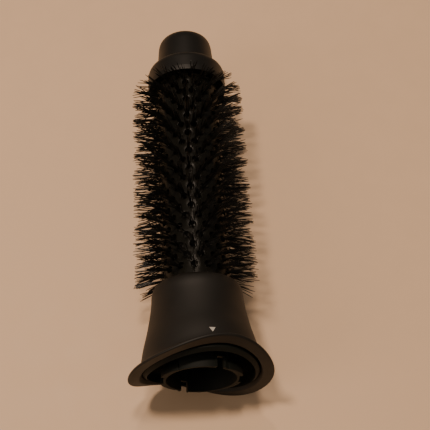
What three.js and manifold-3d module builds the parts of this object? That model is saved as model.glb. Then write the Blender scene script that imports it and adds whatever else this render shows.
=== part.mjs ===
// Round barrel brush: the hot-air attachment of a styling handle, lying on a table.
//
// The barrel's axis runs along +Y, towards the cool tip, and +Z is up. Lengths along the
// axis ("station") are counted from the rim of the bayonet connector, and angles are counted
// from straight up towards +X. Millimetres throughout.
import * as THREE from "three";
import { mergeVertices } from "three/addons/utils/BufferGeometryUtils.js";
import Module from "manifold-3d";

const wasm = await Module();
wasm.setup();

// ---- driving dimensions -----------------------------------------------------------------

const facets = 32; // sides of the skirt, connector, barrel, collar and cool tip
const smallSides = 16; // sides of the rod and of the pieces on it
const gap = 0.3; // clearance between pieces that touch on the real brush

const barrelRadius = 15;
const barrelWall = 1.2;
const barrelEnds = [28.6, 150];

const rows = 22; // rows of holes, every other one shifted by half a pitch
const rowStep = 4.71;
const firstRow = 45.4;
const columns = 16; // holes in one row
const holeCorner = 1.66; // corner radius of a six-sided hole at the barrel's outer face
const firstColumn = THREE.MathUtils.degToRad(-2.35);

const tuftRadius = 27; // how far the bristle tips stand from the axis
const tuftFan = 3; // side of a three-sided tuft at its tips
const endTuftLean = 0.8; // the last tufts lean this far away from the tip collar
const stripWidth = 4.2;
const stripThickness = 1.5;
const stripEnds = [41.5, 146.1];
const stripOuter = 13.2; // distance of a strip's outer face from the axis

const brimRadius = 29.8;
const brimMean = 3.25; // mean station of the brim's edge
const brimWave = 3.75; // the edge swings this far each way: two crests and two lobes
const brimSharpness = 0.66; // fourth harmonic, which sharpens crests and lobes alike
const brimSkew = 0.35; // moves both lobes away from the crest at the top
const crestAngle = THREE.MathUtils.degToRad(25);
const waveFades = [2, 32]; // stations between which the wave dies out up the skirt
const linerMean = 2.65; // mean station of the liner's rim
const linerWave = 1.85;
const linerTilt = 0.6; // the liner's rim stands this much further out above the axis than below it
const linerFades = [1.5, 12];

const boreRadius = 14.5; // inside of the bayonet connector
const sleeveRadius = 15.45;
const sleeveLength = 26;
const lugHeight = 1.5;
const lugLength = 3.2;
const lugSpan = THREE.MathUtils.degToRad(38);
const slotCentre = THREE.MathUtils.degToRad(95.4); // axial slot between two lugs
const slotHalf = THREE.MathUtils.degToRad(12.3);
const notchAngle = THREE.MathUtils.degToRad(29.7);
const notchWidth = 3.2;
const notchDepth = 4.4;

const markAngle = THREE.MathUtils.degToRad(12.3);
const markWidth = 2.55;
const markLength = 2;
const markStation = 11.9;
const markDistance = 24.3; // of the skirt's face at the mark from the axis
const markTilt = THREE.MathUtils.degToRad(11); // the skirt's face leans inwards by this much there

const rodRadius = 1.5;
const rodHole = rodRadius + gap;
const rodEnds = [19.4, 168];
const hubRadius = 3.6; // of the spiders that the rod passes through

const tipStation = 176.5; // far end of the cool tip
const axisHeight = brimRadius; // the brush lies on its brim

// ---- materials --------------------------------------------------------------------------

const satin = { color: 0x1b1714, roughness: 0.55, metalness: 0 };
const skirtPlastic = new THREE.MeshStandardMaterial(satin);
const tipPlastic = new THREE.MeshStandardMaterial({ ...satin, roughness: 0.5 });
const innerPlastic = new THREE.MeshStandardMaterial({ color: 0x121310, roughness: 0.5 });
const barrelGloss = new THREE.MeshStandardMaterial({ color: 0x0d0c0a, roughness: 0.22 });
const nylon = new THREE.MeshStandardMaterial({ color: 0x080807, roughness: 0.4 });
const steel = new THREE.MeshStandardMaterial({ color: 0x9a9a9c, roughness: 0.35, metalness: 1 });
const fibre = new THREE.MeshStandardMaterial({ color: 0x8c6a45, roughness: 0.8 });
const whiteInk = new THREE.MeshStandardMaterial({ color: 0xe8e6e0, roughness: 0.6 });

// ---- solids -----------------------------------------------------------------------------

/** A closed surface as a solid that can be cut and joined, turned to face outwards. */
function solid(geometry) {
  const bare = geometry.clone();
  bare.deleteAttribute("normal");
  bare.deleteAttribute("uv");
  const merged = mergeVertices(bare, 1e-4);
  const triVerts = new Uint32Array(merged.index.array);
  const vertProperties = merged.attributes.position.array;
  const made = new wasm.Manifold(new wasm.Mesh({ numProp: 3, vertProperties, triVerts }));
  if (made.volume() > 0) return made;
  for (let i = 0; i < triVerts.length; i += 3) {
    [triVerts[i], triVerts[i + 1]] = [triVerts[i + 1], triVerts[i]];
  }
  return new wasm.Manifold(new wasm.Mesh({ numProp: 3, vertProperties, triVerts }));
}

/** A solid back as a three.js geometry. */
function geometryOf(made) {
  const { vertProperties, triVerts } = made.getMesh();
  const geometry = new THREE.BufferGeometry();
  geometry.setAttribute("position", new THREE.BufferAttribute(vertProperties, 3));
  geometry.setIndex(new THREE.BufferAttribute(triVerts, 1));
  geometry.computeVertexNormals();
  return geometry;
}

/** Turns an outline of [radius, station] points about the axis, with a flat facet at the bottom. */
function turned(outline, sides = facets, turn = Math.PI / sides) {
  const points = outline.map(([radius, station]) => new THREE.Vector2(radius, station));
  return new THREE.LatheGeometry(points, sides, turn);
}

/** A tube or a ring of rectangular section. */
function tube(inner, outer, station, length, sides = facets, turn = Math.PI / sides) {
  const outline = [
    [inner, station],
    [outer, station],
    [outer, station + length],
    [inner, station + length],
    [inner, station],
  ];
  return turned(outline, sides, turn);
}

/** A block whose middle lies at an angle and a distance from the axis: [tangential, axial, radial]. */
function blockAt(size, angle, distance, station) {
  const block = new THREE.BoxGeometry(...size);
  block.translate(0, station, distance);
  block.rotateY(angle);
  return block;
}

// ---- skirt and its brim -----------------------------------------------------------------

/** How far the saddle-shaped brim stands from the rim plane at a radius and an angle. */
function saddle(radius, angle) {
  const reach = (radius / brimRadius) ** 2;
  const turn = angle - crestAngle;
  const swing = brimWave * Math.cos(2 * turn) + brimSkew * (Math.cos(turn) - Math.cos(3 * turn));
  return brimMean + reach * swing + brimSharpness * reach ** 2 * Math.cos(4 * turn);
}

/** Bends the foot of a turned skirt along the saddle, and leaves its top as it is. */
function bendFoot(geometry) {
  const place = geometry.getAttribute("position");
  for (let i = 0; i < place.count; i++) {
    const [x, y, z] = [place.getX(i), place.getY(i), place.getZ(i)];
    const share = 1 - THREE.MathUtils.smoothstep(y, ...waveFades);
    place.setY(i, y + share * saddle(Math.hypot(x, z), Math.atan2(x, z)));
  }
  return geometry;
}

// The brim's facets touch its true circle at their middles, so that the brush lies at full height.
const brimCorner = brimRadius / Math.cos(Math.PI / facets);

const skirtOutside = [
  [brimCorner - 0.4, 0],
  [brimCorner, 0.4],
  [brimCorner, 0.95],
  [brimCorner - 0.5, 1.4],
  [27, 1.6],
  [25.3, 2.6],
  [24.6, 5],
  [23.5, 12],
  [21.7, 19.5],
  [20.4, 27],
  [19.6, 33],
  [19.5, 36.9],
  [18.7, 39.5],
  [16.4, 40.8],
  [15.4, 40.8],
];
const skirtInside = [
  [15.4, 39.2],
  [17.3, 38.6],
  [17.9, 36.5],
  [18.8, 27],
  [20.2, 19.5],
  [22.1, 12],
  [23.7, 4.5],
  [24.15, 0.8],
  [24.6, -0.1],
];

/** The triangular mark pointing to the base, as a plate let into the skirt. */
function markPlate(grow, thickness, sunk) {
  const half = markWidth / 2 + grow;
  const top = markLength / 2 + grow;
  const outline = new THREE.Shape();
  outline.moveTo(-half, top);
  outline.lineTo(half, top);
  outline.lineTo(0, -top - grow);
  const plate = new THREE.ExtrudeGeometry(outline, { depth: thickness, bevelEnabled: false });
  plate.translate(0, 0, -thickness - sunk);
  plate.rotateX(-markTilt);
  plate.translate(0, markStation, markDistance);
  plate.rotateY(markAngle);
  return plate;
}

function outerSkirt() {
  const shell = bendFoot(turned([...skirtOutside, ...skirtInside, skirtOutside[0]]));
  return geometryOf(solid(shell).subtract(solid(markPlate(0.2, 2, -1.3))));
}

/** The inner shell: its bevelled rim follows the brim at a smaller swing, its floor is a web. */
function skirtLiner() {
  const shell = turned([
    [22.1, 0],
    [23.75, 1.3],
    [23.2, 5],
    [21.5, 12],
    [19.7, 19.5],
    [18.9, 25.5],
    [15.8, 25.5],
    [15.8, 24],
    [18, 24],
    [18.7, 19.5],
    [20.5, 12],
    [22.2, 5],
    [22, 0.25],
    [22.1, 0],
  ]);
  const place = shell.getAttribute("position");
  for (let i = 0; i < place.count; i++) {
    const [x, y, z] = [place.getX(i), place.getY(i), place.getZ(i)];
    const turn = Math.atan2(x, z) - crestAngle;
    const wave = linerMean + linerWave * Math.cos(2 * turn) - linerTilt * Math.cos(turn);
    place.setY(i, y + (1 - THREE.MathUtils.smoothstep(y, ...linerFades)) * wave);
  }
  return geometryOf(solid(shell));
}

// ---- bayonet connector ------------------------------------------------------------------

/** A cam-shaped lug: it rises from the sleeve's wall to full height beside the axial slot. */
function lug(start, end, steps = 6) {
  const outline = new THREE.Shape();
  const rim = (radius, angle) => [radius * Math.sin(angle), -radius * Math.cos(angle)];
  outline.moveTo(...rim(sleeveRadius - 0.5, start));
  for (let i = 0; i <= steps; i++) {
    const share = i / steps;
    const rise = lugHeight * Math.min(1, 0.2 + 1.1 * share);
    outline.lineTo(...rim(sleeveRadius + rise, start + (end - start) * share));
  }
  for (let i = steps; i > 0; i--) {
    outline.lineTo(...rim(sleeveRadius - 0.5, start + ((end - start) * i) / steps));
  }
  const block = new THREE.ExtrudeGeometry(outline, { depth: lugLength, bevelEnabled: false });
  return block.rotateX(-Math.PI / 2);
}

/** The tube that the handle grips, with four cam lugs and two notches at its rim. */
function connectorSleeve() {
  let body = solid(tube(boreRadius, sleeveRadius, 0, sleeveLength));
  for (const side of [0, Math.PI]) {
    const slot = slotCentre + side;
    body = body.add(solid(lug(slot - slotHalf - lugSpan, slot - slotHalf)));
    body = body.add(solid(lug(slot + slotHalf + lugSpan, slot + slotHalf)));
    const notch = notchAngle + side;
    const border = [notchWidth + 1.6, notchDepth + 0.8, 1];
    body = body.add(solid(blockAt(border, notch, sleeveRadius + 0.1, border[1] / 2)));
    const cut = [notchWidth, notchDepth * 2, 4];
    body = body.subtract(solid(blockAt(cut, notch, sleeveRadius, 0)));
  }
  return geometryOf(body);
}

/** The stepped ring behind the sleeve that centres the barrel's base end in the skirt. */
function barrelSeat() {
  const base = sleeveLength + gap;
  const socket = barrelEnds[0] - gap; // the barrel's end stands on this shoulder
  const mouth = 38;
  return turned([
    [13, base],
    [18.2, base],
    [18.2, base + 1.3],
    [16.7, base + 2.3],
    [16.7, mouth],
    [barrelRadius + gap, mouth],
    [barrelRadius + gap, socket],
    [13, socket],
    [13, base],
  ]);
}

// ---- barrel and bristle strips ----------------------------------------------------------

const columnAngle = (column, row) =>
  firstColumn + ((column + (row % 2) / 2) * 2 * Math.PI) / columns;

/** The perforated tube, with a six-sided hole in the middle of a facet for each tuft. */
function barrelShell() {
  const inner = barrelRadius - barrelWall;
  const [base, tip] = barrelEnds;
  const turn = firstColumn + Math.PI / facets;
  const wall = solid(tube(inner, barrelRadius, base, tip - base, facets, turn));
  const reach = 2; // a cutter sticks out this far on both sides of the barrel's outer face
  const taper = (holeCorner * reach) / barrelRadius;
  const holes = [];
  for (let row = 0; row < rows; row++) {
    for (let column = 0; column < columns; column++) {
      const hole = new THREE.CylinderGeometry(holeCorner + taper, holeCorner - taper, 2 * reach, 6);
      hole.rotateX(Math.PI / 2);
      hole.translate(0, firstRow + row * rowStep, barrelRadius);
      hole.rotateY(columnAngle(column, row));
      holes.push(solid(hole));
    }
  }
  return geometryOf(wall.subtract(wasm.Manifold.union(holes)));
}

/** A tuft as a three-sided spike that fans out from its strip, straight up from the axis. */
function tuft(lean) {
  const point = stripOuter - stripThickness + 0.1;
  const length = tuftRadius - point;
  const spike = new THREE.ConeGeometry(tuftFan / Math.sqrt(3), length, 3);
  spike.rotateX(-Math.PI / 2);
  spike.applyMatrix4(new THREE.Matrix4().makeShear(0, 0, 0, 0, 0, lean / length));
  spike.translate(0, 0, point + length / 2);
  return spike;
}

/** A carrier bar inside the barrel, with the tufts of two neighbouring columns. */
function bristleStrip(strip) {
  const [base, tip] = stripEnds;
  const middle = stripOuter - stripThickness / 2;
  const length = tip - base;
  const spine = [stripWidth, length, stripThickness];
  const pieces = [solid(blockAt(spine, columnAngle(strip, 0.5), middle, base + length / 2))];
  for (let row = 0; row < rows; row++) {
    const lean = row === rows - 1 ? -endTuftLean : 0;
    const spike = tuft(lean);
    spike.translate(0, firstRow + row * rowStep + lean / 2, 0);
    spike.rotateY(columnAngle(strip, row));
    pieces.push(solid(spike));
  }
  return geometryOf(wasm.Manifold.union(pieces));
}

// ---- the tie rod and what it clamps -----------------------------------------------------

/** A ring held by three arms on a hub that the tie rod passes through. */
function spider(ringRadius, ringWall, station, height) {
  const ring = solid(tube(ringRadius - ringWall, ringRadius, station, height, smallSides));
  let body = ring.add(solid(tube(rodHole, hubRadius, station, height, smallSides)));
  const armEnds = [hubRadius - 0.5, ringRadius - ringWall / 2];
  const size = [1.6, height * 0.8, armEnds[1] - armEnds[0]];
  for (let arm = 0; arm < 3; arm++) {
    const angle = (arm * 2 * Math.PI) / 3;
    const middle = (armEnds[0] + armEnds[1]) / 2;
    body = body.add(solid(blockAt(size, angle, middle, station + height / 2)));
  }
  return geometryOf(body);
}

/** A round bar on the axis with its base at a station; six sides make it a hexagon. */
function bar(radius, station, length, sides = smallSides) {
  const core = new THREE.CylinderGeometry(radius, radius, length, sides);
  return core.translate(0, station + length / 2, 0);
}

function hexNut(acrossFlats, station, height) {
  const body = solid(bar(acrossFlats / Math.sqrt(3), station, height, 6));
  return geometryOf(body.subtract(solid(bar(rodHole, station - 1, height + 2))));
}

/** The domed collar: a cup over the barrel's last row of holes, and a spigot inside the barrel. */
function tipCollar() {
  const rim = 144.95;
  const shoulder = 155.9;
  const top = barrelEnds[1] + gap;
  return turned([
    [17.75, rim],
    [18.3, rim],
    [18.6, rim + 2.3],
    [18.45, 153.6],
    [17.95, 155.2],
    [16.7, shoulder],
    [rodHole, shoulder],
    [rodHole, 147],
    [4.2, 147],
    [4.2, 152.4],
    [11.9, 152.4],
    [11.9, 146.4],
    [13.4, 146.4],
    [13.4, top],
    [15.35, top],
    [15.35, 145.7],
    [17.55, 145.6],
    [17.75, rim],
  ]);
}

/** The cool tip: a hollow knob, open towards the collar, with a boss that the rod screws into. */
function coolTipKnob() {
  const root = 156.2;
  return turned([
    [0, 169],
    [rodHole, 169],
    [rodHole, 157],
    [3.8, 157],
    [3.8, 172.6],
    [9.6, 172],
    [11.5, 169],
    [12.1, root],
    [13.9, root],
    [13.7, 159],
    [12.95, 170.4],
    [12.3, 172.9],
    [10.6, 174.5],
    [7.4, 175.5],
    [0, tipStation],
  ]);
}

// ---- assembly ---------------------------------------------------------------------------

const group = new THREE.Group();
group.name = "round_barrel_brush";
const brush = new THREE.Group(); // carries the stations and angles above into the part's frame
brush.position.set(0, -tipStation / 2, axisHeight);
group.add(brush);

function place(name, geometry, material) {
  const mesh = new THREE.Mesh(geometry, material);
  mesh.name = name;
  brush.add(mesh);
}

place("outer_skirt", outerSkirt(), skirtPlastic);
place("index_mark", markPlate(0, 0.6, 0), whiteInk);
place("skirt_liner", skirtLiner(), innerPlastic);
place("connector_sleeve", connectorSleeve(), innerPlastic);
place("barrel_seat", barrelSeat(), innerPlastic);
place("barrel_shell", barrelShell(), barrelGloss);
for (let strip = 0; strip < columns; strip++) {
  const number = String(strip + 1).padStart(2, "0");
  place(`bristle_strip_${number}`, bristleStrip(strip), nylon);
}
place("connector_spider", spider(14.1, 1.5, 23.5, 2.2), innerPlastic);
place("base_strip_spider", spider(11.3, 1.2, 42, 4), innerPlastic);
place("tip_strip_spider", spider(11.3, 1.2, 141.5, 4), innerPlastic);
place("tie_rod", bar(rodRadius, rodEnds[0], rodEnds[1] - rodEnds[0]), steel);
place("rod_washer", tube(rodHole, 3.5, 22.6, 0.6, smallSides), steel);
place("rod_nut", hexNut(5.5, 19.9, 2.4), steel);
place("tip_collar", tipCollar(), tipPlastic);
place("insulating_washer", tube(rodHole, 5.6, 156.2, 0.5, smallSides), fibre);
place("cool_tip_knob", coolTipKnob(), tipPlastic);

export default group;
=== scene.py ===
import math
import random

import bmesh
import bpy
from mathutils import Matrix, Vector
from mathutils.bvhtree import BVHTree


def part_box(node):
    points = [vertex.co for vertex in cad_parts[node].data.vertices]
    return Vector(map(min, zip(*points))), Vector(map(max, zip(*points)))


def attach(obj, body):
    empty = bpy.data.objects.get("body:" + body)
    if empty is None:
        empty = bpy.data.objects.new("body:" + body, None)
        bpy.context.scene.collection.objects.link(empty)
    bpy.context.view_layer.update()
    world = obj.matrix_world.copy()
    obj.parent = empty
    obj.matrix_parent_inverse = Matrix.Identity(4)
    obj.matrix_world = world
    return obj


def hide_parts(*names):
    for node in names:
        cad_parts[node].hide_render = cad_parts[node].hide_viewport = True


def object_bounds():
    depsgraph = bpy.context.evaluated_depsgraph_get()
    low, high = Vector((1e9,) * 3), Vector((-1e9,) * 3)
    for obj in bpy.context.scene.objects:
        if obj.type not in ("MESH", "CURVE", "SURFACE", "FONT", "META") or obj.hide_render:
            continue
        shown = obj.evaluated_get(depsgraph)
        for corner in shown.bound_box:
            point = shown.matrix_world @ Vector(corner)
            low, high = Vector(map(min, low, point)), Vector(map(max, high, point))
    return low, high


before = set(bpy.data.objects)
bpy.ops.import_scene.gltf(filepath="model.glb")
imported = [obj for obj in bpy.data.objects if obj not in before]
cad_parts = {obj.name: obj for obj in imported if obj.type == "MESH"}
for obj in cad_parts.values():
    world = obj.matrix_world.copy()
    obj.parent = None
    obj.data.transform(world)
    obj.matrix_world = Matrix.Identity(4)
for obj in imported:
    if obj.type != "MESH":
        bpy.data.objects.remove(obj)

cad_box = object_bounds()
MM = 0.001

sleeve_low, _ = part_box("connector_sleeve")
barrel_low, barrel_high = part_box("barrel_shell")
RIM_Y = sleeve_low[1]
AXIS_Z = (barrel_low[2] + barrel_high[2]) / 2
TIP_STATION = (cad_box[1][1] - RIM_Y) / MM
BRIM_RADIUS = (cad_box[1][0] - cad_box[0][0]) / 2 / MM
BARREL_ENDS = [(low_y - RIM_Y) / MM for low_y in (barrel_low[1], barrel_high[1])]

# How finely curves are divided
SEGMENTS = 192  # round a large turned piece
SMALL_SEGMENTS = 64  # round a small one
EDGE_SPACING = 1.6  # longest straight part of an outline
FILLET_STEPS = 6
PLAIN_FILLET = 0.25  # of a corner that gives none
LONGEST_FILLET = 0.46  # share of an edge that a fillet may take
BEVEL_SEGMENTS = 2
WELD = 2e-7  # metres between points that are one
NO_LENGTH = 1e-7  # metres of an edge that is dropped

# Barrel and its holes
BARREL_RADIUS = 15.0
BARREL_WALL = 1.2
ROWS = 22
COLUMNS = 16
ROW_STEP = 4.71
FIRST_ROW = 45.4
FIRST_COLUMN = math.radians(-2.35)
HOLE_RADIUS = 1.42
HOLE_CHAMFER = (0.12, 0.15)  # inside the barrel: its width and its height
RIM_WIDTH = 0.34  # of the pressed, rounded rim round each hole
RIM_PROFILE = [(1, 0), (0.62, 0.035), (0.3, 0.12), (0.08, 0.27), (0, 0.5)]  # share of it, depth
CELL_ACROSS, CELL_ALONG = 8, 6  # divisions of the barrel between two holes
END_STEPS = 6  # divisions of its plain ends

# Bristles; a lean is a slope, across the barrel or along it
BRISTLES_PER_TUFT = (8, 10)
BRISTLE_RADIUS = 0.19
BRISTLE_END = 0.55  # share of the radius that is left at the tip
BRISTLE_STEPS = 7
BRISTLE_SIDES = 5
BRISTLE_SPREAD = 0.085  # of the lean of each bristle about its tuft's
BRISTLE_BEND = 0.3
BRISTLE_WAVE = (0.02, 0.08)
BRISTLE_RIPPLE = 7  # radians of the wave from root to tip
SHORT_SHARE = 0.4  # of the bristles
SHORTER_BY = (1, 7)
UNEVEN_LENGTH = (-0.9, 0.1)
TUFT_RADIUS = 0.75
TUFT_SPREAD = 0.05  # of the lean of a tuft
LEAN_FAR = 0.08  # along the barrel, at the far rows
LEAN_CHANGE = 0.28  # towards the skirt, from there to the first row
LEAN_FADE = 1.5
LEAN_LAST = -0.2  # of the last row, beside the collar
TIP_RADIUS = (27.0, 26.3)  # of the tips at the first and at the last row
ROOT_RADIUS = 13.0
STRIP_OUTER = 13.2
STRIP_THICKNESS = 1.5
STRIP_WIDTH = 4.2
STRIP_ENDS = (41.5, 146.1)
STRIP_STEPS = 8  # across its curved width

# Skirt, its brim and the liner's rim
BRIM_MEAN = 3.25
BRIM_WAVE = 3.75
BRIM_SHARPNESS = 0.66
BRIM_SKEW = 0.35
CREST_ANGLE = math.radians(25)
WAVE_FADES = (2, 32)
LINER_MEAN = 2.65
LINER_WAVE = 1.85
LINER_TILT = 0.6
LINER_FADES = (1.5, 12)

# Bayonet connector
BORE_RADIUS = 14.5
SLEEVE_RADIUS = 15.45
SLEEVE_LENGTH = 26
LUG_HEIGHT = 1.5
LUG_START = 0.2  # share of the height at the low end of a cam
LUG_RISE = 1.1  # share of the height gained over its span, until it is full
LUG_LENGTH = 3.2
LUG_SPAN = math.radians(38)
LUG_STEPS = 24
SLOT_CENTRE = math.radians(95.4)
SLOT_HALF = math.radians(12.3)
NOTCH_ANGLE = math.radians(29.7)
NOTCH_WIDTH = 3.2
NOTCH_DEPTH = 4.4
NOTCH_BORDER = 0.75
NOTCH_LIFT = 0.1  # of the border's middle above the sleeve
EMBED = 0.5  # how far a joined block reaches into what it stands on

# Index mark
MARK_ANGLE = math.radians(12.3)
MARK_WIDTH = 2.55
MARK_LENGTH = 2.0
MARK_STATION = 11.9
MARK_SKIRT_RADIUS = 24.4  # of the skirt at the mark
MARK_DIVISIONS = 16
MARK_LAYERS = (0.035, -0.25)  # its face and its back, above the skirt

# Tie rod and the hubs on it
ROD_RADIUS = 1.5
ROD_HOLE = 1.8
HUB_RADIUS = 3.6
ARM_WIDTH = 1.6

rng = random.Random(30)


# ---- places and outlines ------------------------------------------------------------------


def spot(radius, angle, station):
    """A place on the brush as a point in the row's frame, in metres."""
    return Vector(
        (
            radius * math.sin(angle) * MM,
            RIM_Y + station * MM,
            AXIS_Z + radius * math.cos(angle) * MM,
        )
    )


def smoothstep(x, low, high):
    t = min(1.0, max(0.0, (x - low) / (high - low)))
    return t * t * (3 - 2 * t)


def saddle(radius, angle):
    """How far the saddle-shaped brim stands from the rim plane at a radius and an angle."""
    reach = (radius / BRIM_RADIUS) ** 2
    turn = angle - CREST_ANGLE
    skew = BRIM_SKEW * (math.cos(turn) - math.cos(3 * turn))
    swing = reach * (BRIM_WAVE * math.cos(2 * turn) + skew)
    return BRIM_MEAN + swing + BRIM_SHARPNESS * reach**2 * math.cos(4 * turn)


def bend_skirt(radius, angle, station):
    return station + (1 - smoothstep(station, *WAVE_FADES)) * saddle(radius, angle)


def bend_liner(radius, angle, station):
    turn = angle - CREST_ANGLE
    wave = LINER_MEAN + LINER_WAVE * math.cos(2 * turn) - LINER_TILT * math.cos(turn)
    return station + (1 - smoothstep(station, *LINER_FADES)) * wave


def softened(outline, closed=True):
    """An outline with each corner rounded by its own fillet, and long edges divided.

    A point is (radius, station) or (radius, station, fillet), all in millimetres.
    """
    points = [(Vector(p[:2]), p[2] if len(p) > 2 else PLAIN_FILLET) for p in outline]
    count = len(points)
    line = []
    for i, (here, fillet) in enumerate(points):
        before, after = points[i - 1][0], points[(i + 1) % count][0]
        if not closed and i in (0, count - 1):
            line.append(here)
            continue
        back, ahead = before - here, after - here
        back *= min(fillet / back.length, LONGEST_FILLET)
        ahead *= min(fillet / ahead.length, LONGEST_FILLET)
        for k in range(FILLET_STEPS + 1):
            t = k / FILLET_STEPS
            line.append(here + back * (1 - t) ** 2 + ahead * t**2)
    if closed:
        line.append(line[0])
    fine = []
    for start, end in zip(line, line[1:]):
        parts = max(1, math.ceil((end - start).length / EDGE_SPACING))
        fine += [start.lerp(end, k / parts) for k in range(parts)]
    if not closed:
        fine.append(line[-1])
    return fine


# ---- meshes and pieces --------------------------------------------------------------------


def turned_mesh(outline, segments=SEGMENTS, bend=None, closed=True):
    """The points and faces of an outline turned about the axis, and bent along it if asked."""
    verts, faces = [], []
    for j in range(segments):
        angle = 2 * math.pi * j / segments
        for radius, station in outline:
            shifted = bend(radius, angle, station) if bend else station
            verts.append(spot(radius, angle, shifted))
    n = len(outline)
    for j in range(segments):
        here, there = j * n, (j + 1) % segments * n
        for i in range(n if closed else n - 1):
            k = (i + 1) % n
            faces.append((here + i, here + k, there + k, there + i))
    return verts, faces


def wedge(inner, outer, angles, stations):
    """A block bounded by two radii, which may be functions of the angle, and two stations."""
    verts, faces = [], []
    for angle in angles:
        for radius in (inner, outer):
            size = radius(angle) if callable(radius) else radius
            verts += [spot(size, angle, station) for station in stations]
    last = len(angles) - 1
    for i in range(last):
        a, b = 4 * i, 4 * i + 4
        faces += [
            (a, a + 1, b + 1, b),
            (a + 2, b + 2, b + 3, a + 3),
            (a, b, b + 2, a + 2),
            (a + 1, a + 3, b + 3, b + 1),
        ]
    faces += [(0, 2, 3, 1), (4 * last, 4 * last + 1, 4 * last + 3, 4 * last + 2)]
    return verts, faces


def upright(width, depth, height, angle, distance, low=0.0):
    """A block that stands out from the axis: tangential width, radial depth, axial height."""
    middle = spot(distance, angle, low + height / 2)
    turn = Matrix.Rotation(angle, 4, "Y")
    size = Vector((width, height, depth)) * (MM / 2)
    verts = []
    for x in (-1, 1):
        for y in (-1, 1):
            for z in (-1, 1):
                corner = Vector((x * size.x, y * size.y, z * size.z))
                verts.append(middle + turn @ corner)
    faces = [(0, 1, 3, 2), (4, 6, 7, 5), (0, 4, 5, 1), (2, 3, 7, 6), (0, 2, 6, 4), (1, 5, 7, 3)]
    return verts, faces


def raw_object(name, verts, faces):
    """An object from its points and faces: welded and facing out, not yet a piece."""
    mesh = bpy.data.meshes.new(name)
    mesh.from_pydata(verts, [], faces)
    work = bmesh.new()
    work.from_mesh(mesh)
    bmesh.ops.remove_doubles(work, verts=work.verts, dist=WELD)
    bmesh.ops.dissolve_degenerate(work, edges=work.edges, dist=NO_LENGTH)
    bmesh.ops.recalc_face_normals(work, faces=work.faces)
    work.to_mesh(mesh)
    work.free()
    made = bpy.data.objects.new(name, mesh)
    bpy.context.collection.objects.link(made)
    return made


def declared(made, material, nodes, sharp=35):
    """Makes an object a finished piece of the brush, smooth but for its sharp edges."""
    mesh = made.data
    mesh.polygons.foreach_set("use_smooth", [True] * len(mesh.polygons))
    mesh.set_sharp_from_angle(angle=math.radians(sharp))
    mesh.materials.clear()
    mesh.materials.append(material)
    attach(made, "root")
    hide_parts(*nodes)
    return made


def piece(name, verts, faces, material, nodes, slot, sharp=35):
    return declared(raw_object(name, verts, faces), material, nodes, sharp)


def turned_piece(name, outline, material, node, slot, segments=SMALL_SEGMENTS, closed=True):
    shape = turned_mesh(softened(outline, closed), segments, closed=closed)
    return piece(name, *shape, material, [node], slot)


def apply_modifiers(made):
    graph = bpy.context.evaluated_depsgraph_get()
    mesh = bpy.data.meshes.new_from_object(made.evaluated_get(graph))
    made.modifiers.clear()
    made.data = mesh


def combine(made, others, operation):
    """Joins or cuts with other objects, which are used up."""
    for other in others:
        step = made.modifiers.new("step", "BOOLEAN")
        step.operation = operation
        step.solver = "EXACT"
        step.object = other
        apply_modifiers(made)
        bpy.data.objects.remove(other)


def softened_edges(made, width, limit=35):
    """Bevels the edges sharper than a limit in degrees."""
    edge = made.modifiers.new("edge", "BEVEL")
    edge.width = width * MM
    edge.segments = BEVEL_SEGMENTS
    edge.limit_method = "ANGLE"
    edge.angle_limit = math.radians(limit)
    edge.use_clamp_overlap = True
    apply_modifiers(made)


# ---- materials ----------------------------------------------------------------------------

CLOUDS_PER_METRE = 90
CLOUD_CONTRAST = (0.3, 0.7)  # noise levels that take the darkest and the lightest colour
GLOSS_CONTRAST = (0.25, 0.75)  # noise levels that take the least and the most roughness
GLOSS_CHANGE = 0.1
GRAIN_STRENGTH = 0.35


def moulded(name, colour, roughness, mottle=0.12, grain=0.02, grain_size=0.35, **sockets):
    """Moulded plastic: cloudy colour, uneven gloss, and the fine grain of the tool's surface."""
    material = bpy.data.materials.new(name)
    material.use_nodes = True
    nodes, links = material.node_tree.nodes, material.node_tree.links

    def fill(node, values):
        for socket, value in values.items():
            node.inputs[socket.replace("_", " ")].default_value = value
        return node

    shader = fill(nodes["Principled BSDF"], sockets)
    place = nodes.new("ShaderNodeTexCoord")

    clouds = fill(nodes.new("ShaderNodeTexNoise"), {"Scale": CLOUDS_PER_METRE, "Detail": 4})
    links.new(place.outputs["Object"], clouds.inputs["Vector"])
    tint = nodes.new("ShaderNodeValToRGB")
    for k, share in enumerate((1 - mottle, 1 + mottle)):
        stop = tint.color_ramp.elements[k]
        stop.position = CLOUD_CONTRAST[k]
        stop.color = (*(c * share for c in colour), 1)
    links.new(clouds.outputs["Fac"], tint.inputs["Fac"])
    links.new(tint.outputs["Color"], shader.inputs["Base Color"])

    levels = {
        "From Min": GLOSS_CONTRAST[0],
        "From Max": GLOSS_CONTRAST[1],
        "To Min": roughness * (1 - GLOSS_CHANGE),
        "To Max": roughness * (1 + GLOSS_CHANGE),
    }
    gloss = fill(nodes.new("ShaderNodeMapRange"), levels)
    links.new(clouds.outputs["Fac"], gloss.inputs["Value"])
    links.new(gloss.outputs["Result"], shader.inputs["Roughness"])

    per_metre = 1 / (grain_size * MM)
    fine = fill(nodes.new("ShaderNodeTexNoise"), {"Scale": per_metre, "Detail": 2})
    links.new(place.outputs["Object"], fine.inputs["Vector"])
    depth = {"Strength": GRAIN_STRENGTH, "Distance": grain * MM}
    bump = fill(nodes.new("ShaderNodeBump"), depth)
    links.new(fine.outputs["Fac"], bump.inputs["Height"])
    links.new(bump.outputs["Normal"], shader.inputs["Normal"])
    return material


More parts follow.
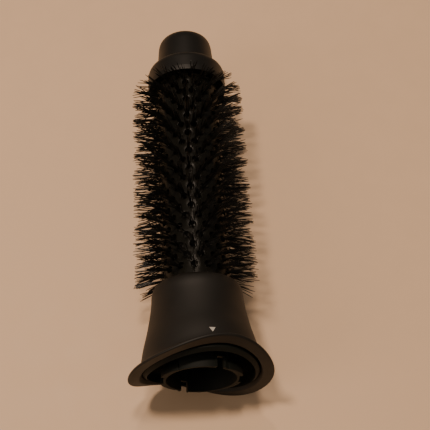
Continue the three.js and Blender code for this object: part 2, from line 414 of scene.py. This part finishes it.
skirt_plastic = moulded(
    "skirt_plastic", (0.0056, 0.0046, 0.0034), 0.58, grain=0.03, Specular_IOR_Level=0.34
)
tip_plastic = moulded(
    "tip_plastic", (0.0036, 0.0030, 0.0022), 0.45, grain=0.02, Specular_IOR_Level=0.34
)
inner_plastic = moulded(
    "inner_plastic", (0.0044, 0.0058, 0.0044), 0.64, grain=0.02, Specular_IOR_Level=0.18
)
barrel_gloss = moulded(
    "barrel_gloss",
    (0.0056, 0.0053, 0.0040),
    0.26,
    mottle=0.2,
    grain=0.004,
    Specular_IOR_Level=0.15,
)
nylon = moulded(
    "nylon", (0.0058, 0.0055, 0.0046), 0.3, mottle=0.3, grain=0.004, Specular_IOR_Level=0.34
)
white_mark = moulded("white_mark", (0.40, 0.38, 0.36), 0.55, mottle=0.05, grain=0.01)
fibre = moulded("fibre", (0.26, 0.15, 0.07), 0.8, mottle=0.25, grain=0.05)
steel = moulded("steel", (0.55, 0.54, 0.53), 0.3, mottle=0.08, grain=0.01, Metallic=1.0)
table_top = moulded(
    "table_top", (0.67, 0.468, 0.305), 0.6, mottle=0.015, grain=0.01, grain_size=1.5
)


# ---- skirt, mark and liner ----------------------------------------------------------------

SKIRT_OUTSIDE = [
    (BRIM_RADIUS, 0.95, 0.3),
    (BRIM_RADIUS - 0.5, 1.4, 0.4),
    (27, 1.6, 1.5),
    (25.3, 2.6, 1.4),
    (24.6, 5, 1.5),
    (23.5, 12, 3.4),
    (21.7, 19.5, 3.4),
    (20.4, 27, 3),
    (19.6, 33, 2.5),
    (19.5, 36.9, 1.5),
    (18.7, 39.5, 1.6),
    (16.4, 40.8, 1.2),
    (15.4, 40.8, 0.15),
]
SKIRT_INSIDE = [
    (15.4, 39.2),
    (17.3, 38.6, 0.6),
    (17.9, 36.5, 1),
    (18.8, 27, 3),
    (20.2, 19.5, 3),
    (22.1, 12, 3),
    (23.7, 4.5, 2),
    (24.15, 1.4, 0.3),
    (25.1, -0.1, 0.4),
    (BRIM_RADIUS - 0.35, 0, 0.3),
    (BRIM_RADIUS, 0.4, 0.25),
]
skirt = piece(
    "skirt",
    *turned_mesh(softened(SKIRT_OUTSIDE + SKIRT_INSIDE), bend=bend_skirt),
    skirt_plastic,
    ["outer_skirt"],
    "skirt_plastic",
)

WELL_OUTSIDE = 40  # a radius to look at the skirt from
skirt_tree = BVHTree.FromPolygons(
    [v.co.copy() for v in skirt.data.vertices], [p.vertices[:] for p in skirt.data.polygons]
)


def on_skirt(angle, station, lift):
    """The point of the skirt's outer face at an angle and a station, raised by lift."""
    outside = spot(WELL_OUTSIDE, angle, station)
    inward = spot(0, angle, station) - outside
    hit, normal, _, _ = skirt_tree.ray_cast(outside, inward.normalized())
    return hit + normal * (lift * MM)


def index_mark():
    """A thin printed triangle that points to the base, laid on the skirt's curve."""
    across = MARK_DIVISIONS
    rows = [across - k for k in range(across + 1)]
    verts, faces, starts = [], [], []
    for lift in MARK_LAYERS:
        for k, steps in enumerate(rows):
            starts.append(len(verts))
            station = MARK_STATION + MARK_LENGTH * (0.5 - k / across)
            for i in range(steps + 1):
                offset = (i - steps / 2) / across * MARK_WIDTH
                verts.append(on_skirt(MARK_ANGLE + offset / MARK_SKIRT_RADIUS, station, lift))
    half = len(rows)
    for layer in (0, half):
        for k in range(across):
            a, b = starts[layer + k], starts[layer + k + 1]
            for i in range(rows[k]):
                faces.append((a + i, a + i + 1, b + i))
                if i < rows[k + 1]:
                    faces.append((a + i + 1, b + i + 1, b + i))
    top, under = starts[:half], starts[half:]
    for i in range(across):
        faces.append((top[0] + i, top[0] + i + 1, under[0] + i + 1, under[0] + i))
    for k in range(across):
        faces.append((top[k], top[k + 1], under[k + 1], under[k]))
        last, next_last = rows[k], rows[k + 1]
        faces.append(
            (
                top[k] + last,
                top[k + 1] + next_last,
                under[k + 1] + next_last,
                under[k] + last,
            )
        )
    return verts, faces


piece("index_triangle", *index_mark(), white_mark, ["index_mark"], "white_mark")

LINER = [
    (22.1, 0, 0.12),
    (23.9, 1.3, 0.3),
    (23.25, 5, 1.5),
    (21.5, 12, 3),
    (19.7, 19.5, 3),
    (18.9, 25.5, 0.5),
    (15.8, 25.5),
    (15.8, 24),
    (18, 24, 1),
    (18.7, 19.5, 2),
    (20.5, 12, 3),
    (22.2, 5, 1.5),
    (22, 0.25, 0.12),
]
piece(
    "liner",
    *turned_mesh(softened(LINER), bend=bend_liner),
    inner_plastic,
    ["skirt_liner"],
    "inner_plastic",
)


# ---- bayonet connector --------------------------------------------------------------------


def lug(start, end):
    """A cam: it rises from the sleeve's wall to full height beside the axial slot."""

    def rise(angle):
        share = (angle - start) / (end - start)
        return SLEEVE_RADIUS + LUG_HEIGHT * min(1, LUG_START + LUG_RISE * share)

    angles = [start + (end - start) * k / LUG_STEPS for k in range(LUG_STEPS + 1)]
    return wedge(SLEEVE_RADIUS - EMBED, rise, angles, (0, LUG_LENGTH))


def connector():
    """The sleeve with its lugs, and two notches for the handle's tongues, each in a border."""
    wall = [
        (BORE_RADIUS, 0),
        (SLEEVE_RADIUS, 0),
        (SLEEVE_RADIUS, SLEEVE_LENGTH),
        (BORE_RADIUS, SLEEVE_LENGTH),
    ]
    body = raw_object("connector", *turned_mesh(wall))
    border_thickness, through_wall = 1.0, 5
    joined, cut = [], []
    for side in (0, math.pi):
        slot = SLOT_CENTRE + side
        notch = NOTCH_ANGLE + side
        joined.append(lug(slot - SLOT_HALF - LUG_SPAN, slot - SLOT_HALF))
        joined.append(lug(slot + SLOT_HALF + LUG_SPAN, slot + SLOT_HALF))
        border = NOTCH_WIDTH + 2 * NOTCH_BORDER, border_thickness, NOTCH_DEPTH + NOTCH_BORDER
        joined.append(upright(*border, notch, SLEEVE_RADIUS + NOTCH_LIFT))
        opening = NOTCH_WIDTH, through_wall, 2 * NOTCH_DEPTH
        cut.append(upright(*opening, notch, SLEEVE_RADIUS, -NOTCH_DEPTH))
    combine(body, [raw_object("join", *shape) for shape in joined], "UNION")
    combine(body, [raw_object("cut", *shape) for shape in cut], "DIFFERENCE")
    softened_edges(body, 0.14)
    return body


declared(connector(), inner_plastic, ["connector_sleeve"], 40)

SEAT = [
    (13, 26.3),
    (18.2, 26.3),
    (18.2, 27.6),
    (16.7, 28.6),
    (16.7, 38),
    (15.3, 38),
    (15.3, 28.3, 0.1),
    (13, 28.3),
]
turned_piece("seat_ring", SEAT, inner_plastic, "barrel_seat", "inner_plastic", SEGMENTS)


# ---- barrel -------------------------------------------------------------------------------


def column_angle(column, row):
    return FIRST_COLUMN + (column + (row % 2) / 2) * 2 * math.pi / COLUMNS


def cell_border(width, height):
    """Points round a rectangle about the origin, the same number on opposite sides."""
    x, y = width / 2, height / 2
    points = [(-x + width * k / CELL_ACROSS, -y) for k in range(CELL_ACROSS)]
    points += [(x, -y + height * k / CELL_ALONG) for k in range(CELL_ALONG)]
    points += [(x - width * k / CELL_ACROSS, y) for k in range(CELL_ACROSS)]
    points += [(-x, y - height * k / CELL_ALONG) for k in range(CELL_ALONG)]
    return points


def barrel():
    """The tube as one cell per hole, each with a rounded rim that runs through the wall."""
    pitch = 2 * math.pi / COLUMNS
    outer, inner = BARREL_RADIUS, BARREL_RADIUS - BARREL_WALL
    border = cell_border(pitch * outer, ROW_STEP)
    count = len(border)
    rims = [(HOLE_RADIUS + RIM_WIDTH * share, outer - depth) for share, depth in RIM_PROFILE]
    rims.append((HOLE_RADIUS, inner + HOLE_CHAMFER[1]))
    rims.append((HOLE_RADIUS + HOLE_CHAMFER[0], inner))
    verts, faces = [], []
    for row in range(ROWS):
        station = FIRST_ROW + row * ROW_STEP
        for column in range(COLUMNS):
            middle = column_angle(column, row)
            start = len(verts)
            rings = [[(x, y, outer) for x, y in border]]
            for radius, depth in rims:
                rings.append(
                    [
                        (x * radius / math.hypot(x, y), y * radius / math.hypot(x, y), depth)
                        for x, y in border
                    ]
                )
            rings.append([(x, y, inner) for x, y in border])
            for ring in rings:
                verts += [spot(r, middle + x / outer, station + y) for x, y, r in ring]
            for k in range(len(rings) - 1):
                a = start + k * count
                for i in range(count):
                    j = (i + 1) % count
                    faces.append((a + i, a + j, a + count + j, a + count + i))
    ends = [
        (FIRST_ROW - ROW_STEP / 2, BARREL_ENDS[0], 0),
        (FIRST_ROW + (ROWS - 0.5) * ROW_STEP, BARREL_ENDS[1], ROWS - 1),
    ]
    around = COLUMNS * CELL_ACROSS
    for seam, end, row in ends:
        base = column_angle(0, row) - pitch / 2
        stations = [seam + (end - seam) * k / END_STEPS for k in range(END_STEPS + 1)]
        profile = [(outer, s) for s in stations] + [(inner, s) for s in reversed(stations)]
        start = len(verts)
        for j in range(around):
            verts += [spot(r, base + j * 2 * math.pi / around, s) for r, s in profile]
        n = len(profile)
        for j in range(around):
            a, b = start + j * n, start + (j + 1) % around * n
            faces += [(a + i, a + i + 1, b + i + 1, b + i) for i in range(n - 1)]
    return verts, faces


piece("barrel", *barrel(), barrel_gloss, ["barrel_shell"], "barrel_gloss", sharp=50)


# ---- bristles -----------------------------------------------------------------------------


def tube_along(path, radii):
    """The points and faces of a thin closed tube along a path of points."""
    sides = BRISTLE_SIDES
    reference = Vector((0, 1, 0.01))  # never along a bristle, which stands out from the barrel
    verts, faces = [], []
    for k, (point, radius) in enumerate(zip(path, radii)):
        ahead = path[min(k + 1, len(path) - 1)] - path[max(k - 1, 0)]
        aside = ahead.cross(reference).normalized()
        other = ahead.cross(aside).normalized()
        for j in range(sides):
            turn = 2 * math.pi * j / sides
            reach = aside * math.cos(turn) + other * math.sin(turn)
            verts.append(point + reach * (radius * MM))
    for k in range(len(path) - 1):
        for j in range(sides):
            a, b = k * sides + j, k * sides + (j + 1) % sides
            faces.append((a, b, b + sides, a + sides))
    last = (len(path) - 1) * sides
    faces.append(tuple(range(sides - 1, -1, -1)))
    faces.append(tuple(last + j for j in range(sides)))
    return verts, faces


def bristle(angle, station, aim, tip_radius):
    """One bristle from inside its hole to its tip, a little bent and wavy."""
    ring = TUFT_RADIUS * math.sqrt(rng.random())
    turn = rng.uniform(0, 2 * math.pi)
    root = ring * math.cos(turn), ring * math.sin(turn)
    lean = [aim[i] + rng.gauss(0, BRISTLE_SPREAD) for i in (0, 1)]
    bend = [rng.gauss(0, BRISTLE_BEND) for _ in (0, 1)]
    wave = rng.uniform(*BRISTLE_WAVE)
    phase = rng.uniform(0, 2 * math.pi)
    heading = rng.uniform(0, math.pi)
    path, radii = [], []
    for k in range(BRISTLE_STEPS + 1):
        t = k / BRISTLE_STEPS
        out = t * (tip_radius - ROOT_RADIUS)
        ripple = wave * math.sin(phase + BRISTLE_RIPPLE * t) * t
        across = root[0] + lean[0] * out + bend[0] * t * t + ripple * math.cos(heading)
        along = root[1] + lean[1] * out + bend[1] * t * t + ripple * math.sin(heading)
        height = ROOT_RADIUS + out
        aside = math.atan2(across, height)
        path.append(spot(math.hypot(height, across), angle + aside, station + along))
        radii.append(BRISTLE_RADIUS * (1 if k < BRISTLE_STEPS else BRISTLE_END))
    return tube_along(path, radii)


def strip(column):
    """A carrier bar with its two columns of tufts."""
    verts, faces = [], []

    def add(shape):
        offset = len(verts)
        verts.extend(shape[0])
        faces.extend(tuple(offset + v for v in face) for face in shape[1])

    middle = column_angle(column, 0.5)
    inner = STRIP_OUTER - STRIP_THICKNESS
    half = STRIP_WIDTH / 2 / STRIP_OUTER
    angles = [middle + half * (2 * k / STRIP_STEPS - 1) for k in range(STRIP_STEPS + 1)]
    add(wedge(inner, STRIP_OUTER, angles, STRIP_ENDS))
    for row in range(ROWS):
        share = row / (ROWS - 1)
        tip = TIP_RADIUS[0] + (TIP_RADIUS[1] - TIP_RADIUS[0]) * share
        lean = LEAN_FAR - LEAN_CHANGE * (1 - share) ** LEAN_FADE
        if row == ROWS - 1:
            lean = LEAN_LAST
        aim = [rng.gauss(0, TUFT_SPREAD), lean + rng.gauss(0, TUFT_SPREAD)]
        place = column_angle(column, row), FIRST_ROW + row * ROW_STEP
        for _ in range(rng.randint(*BRISTLES_PER_TUFT)):
            length = tip + rng.uniform(*UNEVEN_LENGTH)
            length -= (rng.random() < SHORT_SHARE) * rng.uniform(*SHORTER_BY)
            add(bristle(*place, aim, length))
    return verts, faces


for column in range(COLUMNS):
    number = f"{column + 1:02d}"
    shape = strip(column)
    piece(f"bristles_{number}", *shape, nylon, [f"bristle_strip_{number}"], "nylon", sharp=60)


# ---- tie rod and what it clamps -----------------------------------------------------------


def threaded_rod():
    """The rod's outline, with thread grooves at both of its ends."""
    start, end = 19.4, 168
    near_thread, far_thread = (start + 0.5, 24.5), (157.5, end - 0.5)
    pitch, depth, chamfer = 0.5, 0.14, 0.3
    points = [(0, start), (ROD_RADIUS - chamfer, start), (ROD_RADIUS - depth, start + chamfer)]
    for first, last in (near_thread, far_thread):
        for k in range(int((last - first) / pitch)):
            points.append((ROD_RADIUS - depth, first + k * pitch))
            points.append((ROD_RADIUS, first + (k + 0.5) * pitch))
    return points + [(ROD_RADIUS - chamfer, end), (0, end)]


piece(
    "threaded_rod",
    *turned_mesh(threaded_rod(), 32, closed=False),
    steel,
    ["tie_rod"],
    "steel",
)
WASHER = [(ROD_HOLE, 22.6, 0.1), (3.5, 22.6, 0.1), (3.5, 23.2, 0.1), (ROD_HOLE, 23.2, 0.1)]
turned_piece("steel_washer", WASHER, steel, "rod_washer", "steel")


def spider(name, node, ring_radius, ring_wall, station, height):
    """A ring held by three arms on the hub that the rod passes through."""
    top = station + height
    inside = ring_radius - ring_wall
    ring = [(inside, station), (ring_radius, station), (ring_radius, top), (inside, top)]
    hub = [(ROD_HOLE, station), (HUB_RADIUS, station), (HUB_RADIUS, top), (ROD_HOLE, top)]
    body = raw_object(name, *turned_mesh(ring, SMALL_SEGMENTS))
    parts = [turned_mesh(hub, SMALL_SEGMENTS)]
    length = ring_radius - ring_wall / 2 - HUB_RADIUS + EMBED
    middle = HUB_RADIUS - EMBED + length / 2
    low, arm_height = station + height * 0.1, height * 0.8
    for arm in range(3):
        angle = arm * 2 * math.pi / 3
        parts.append(upright(ARM_WIDTH, length, arm_height, angle, middle, low))
    combine(body, [raw_object("join", *shape) for shape in parts], "UNION")
    softened_edges(body, 0.15)
    declared(body, inner_plastic, [node], 40)


SPIDERS = [  # name, node, radius and wall of the ring, station, height
    ("spider_connector", "connector_spider", 14.1, 1.5, 23.5, 2.2),
    ("spider_base", "base_strip_spider", 11.3, 1.2, 42, 4),
    ("spider_tip", "tip_strip_spider", 11.3, 1.2, 141.5, 4),
]
for row in SPIDERS:
    spider(*row)


def hex_nut():
    """A nut with chamfered corners."""
    base, top, flats, chamfer = 19.9, 22.3, 5.5, 0.45
    corner = flats / math.sqrt(3)
    outside = [
        (0, base),
        (flats / 2, base),
        (corner, base + chamfer),
        (corner, top - chamfer),
        (flats / 2, top),
        (0, top),
    ]
    body = raw_object("hex_nut", *turned_mesh(outside, 6, closed=False))
    bore = [(0, base - 1), (ROD_HOLE, base - 1), (ROD_HOLE, top + 1), (0, top + 1)]
    combine(body, [raw_object("cut", *turned_mesh(bore, 32, closed=False))], "DIFFERENCE")
    softened_edges(body, 0.1, limit=20)
    return body


declared(hex_nut(), steel, ["rod_nut"], 30)


# ---- tip collar and cool tip --------------------------------------------------------------

COLLAR = [
    (17.75, 144.95, 0.15),
    (18.3, 144.95, 0.2),
    (18.6, 147.25, 0.12),
    (18.45, 153.6, 0.8),
    (17.95, 155.2, 0.8),
    (16.7, 155.9, 0.7),
    (ROD_HOLE, 155.9),
    (ROD_HOLE, 147),
    (4.2, 147),
    (4.2, 152.4),
    (11.9, 152.4),
    (11.9, 146.4),
    (13.4, 146.4),
    (13.4, 150.3, 0.1),
    (15.35, 150.3, 0.1),
    (15.35, 145.7, 0.3),
    (17.55, 145.6, 0.2),
]
turned_piece("collar", COLLAR, tip_plastic, "tip_collar", "tip_plastic", SEGMENTS)

FIBRE_WASHER = [
    (ROD_HOLE, 156.2, 0.1),
    (5.6, 156.2, 0.1),
    (5.6, 156.7, 0.1),
    (ROD_HOLE, 156.7, 0.1),
]
turned_piece("fibre_washer", FIBRE_WASHER, fibre, "insulating_washer", "fibre")

KNOB = [
    (0, 169),
    (ROD_HOLE, 169, 0.3),
    (ROD_HOLE, 157),
    (3.8, 157),
    (3.8, 172.6, 0.4),
    (9.6, 172, 1.5),
    (11.5, 169, 1.5),
    (12.1, 156.2),
    (13.9, 156.2, 0.2),
    (13.7, 159, 1.4),
    (12.95, 170.4, 1.6),
    (12.3, 172.9, 1.2),
    (10.6, 174.5, 1.2),
    (7.4, 175.5, 2),
    (0, TIP_STATION),
]
turned_piece("tip_knob", KNOB, tip_plastic, "cool_tip_knob", "tip_plastic", SEGMENTS, closed=False)


# ---- table, light and camera --------------------------------------------------------------


def table():
    """The table top. The brush rests on its brim and on the bristles at the far end, which are
    a little lower than the brim, so relative to the brush the table rises slightly towards +Y."""
    touch = (BRIM_RADIUS - TIP_RADIUS[1]) / (FIRST_ROW + (ROWS - 1) * ROW_STEP - BRIM_MEAN)
    half = 1.6  # metres of its width
    verts = []
    for x, y in ((-half, -half), (half, -half), (half, half), (-half, half)):
        verts.append((x, y, (y - RIM_Y - BRIM_MEAN * MM) * touch))
    mesh = bpy.data.meshes.new("table")
    mesh.from_pydata(verts, [], [(0, 1, 2, 3)])
    mesh.materials.append(table_top)
    top = bpy.data.objects.new("table", mesh)
    bpy.context.collection.objects.link(top)


table()

WARM = (1.0, 0.78, 0.60)
LIGHTS = [  # name, place, diameter in metres, power in watts; each faces the brush
    ("ceiling", (-0.01, 0.09, 1.25), 0.15, 4.6),
    ("ceiling_left", (-0.325, 0.06, 1.25), 0.16, 8.2),
    ("side", (-1.0, -0.5, 0.7), 0.8, 3.0),
    ("back", (-0.03, 0.56, 1.2), 0.08, 1.9),
]
for name, place, diameter, power in LIGHTS:
    lamp = bpy.data.lights.new(name, "AREA")
    lamp.shape = "DISK"
    lamp.size = diameter
    lamp.energy = power
    lamp.color = WARM
    made = bpy.data.objects.new(name, lamp)
    made.location = place
    made.rotation_euler = (-Vector(place)).to_track_quat("-Z", "Y").to_euler()
    bpy.context.collection.objects.link(made)

world = bpy.data.worlds.new("room")
world.use_nodes = True
background = world.node_tree.nodes["Background"]
background.inputs["Color"].default_value = (1.0, 0.90, 0.77, 1)
background.inputs["Strength"].default_value = 0.17
bpy.context.scene.world = world

lens = bpy.data.cameras.new("camera")
lens.sensor_width = 36
lens.lens = 76.44
lens.clip_start = 0.01
camera = bpy.data.objects.new("camera", lens)
camera.location = (-0.001513, -0.212552, 0.384113)
aim = Vector((0.00972, -0.011975, 0.0298))
camera.rotation_euler = (aim - camera.location).to_track_quat("-Z", "Y").to_euler()
bpy.context.collection.objects.link(camera)
bpy.context.scene.camera = camera
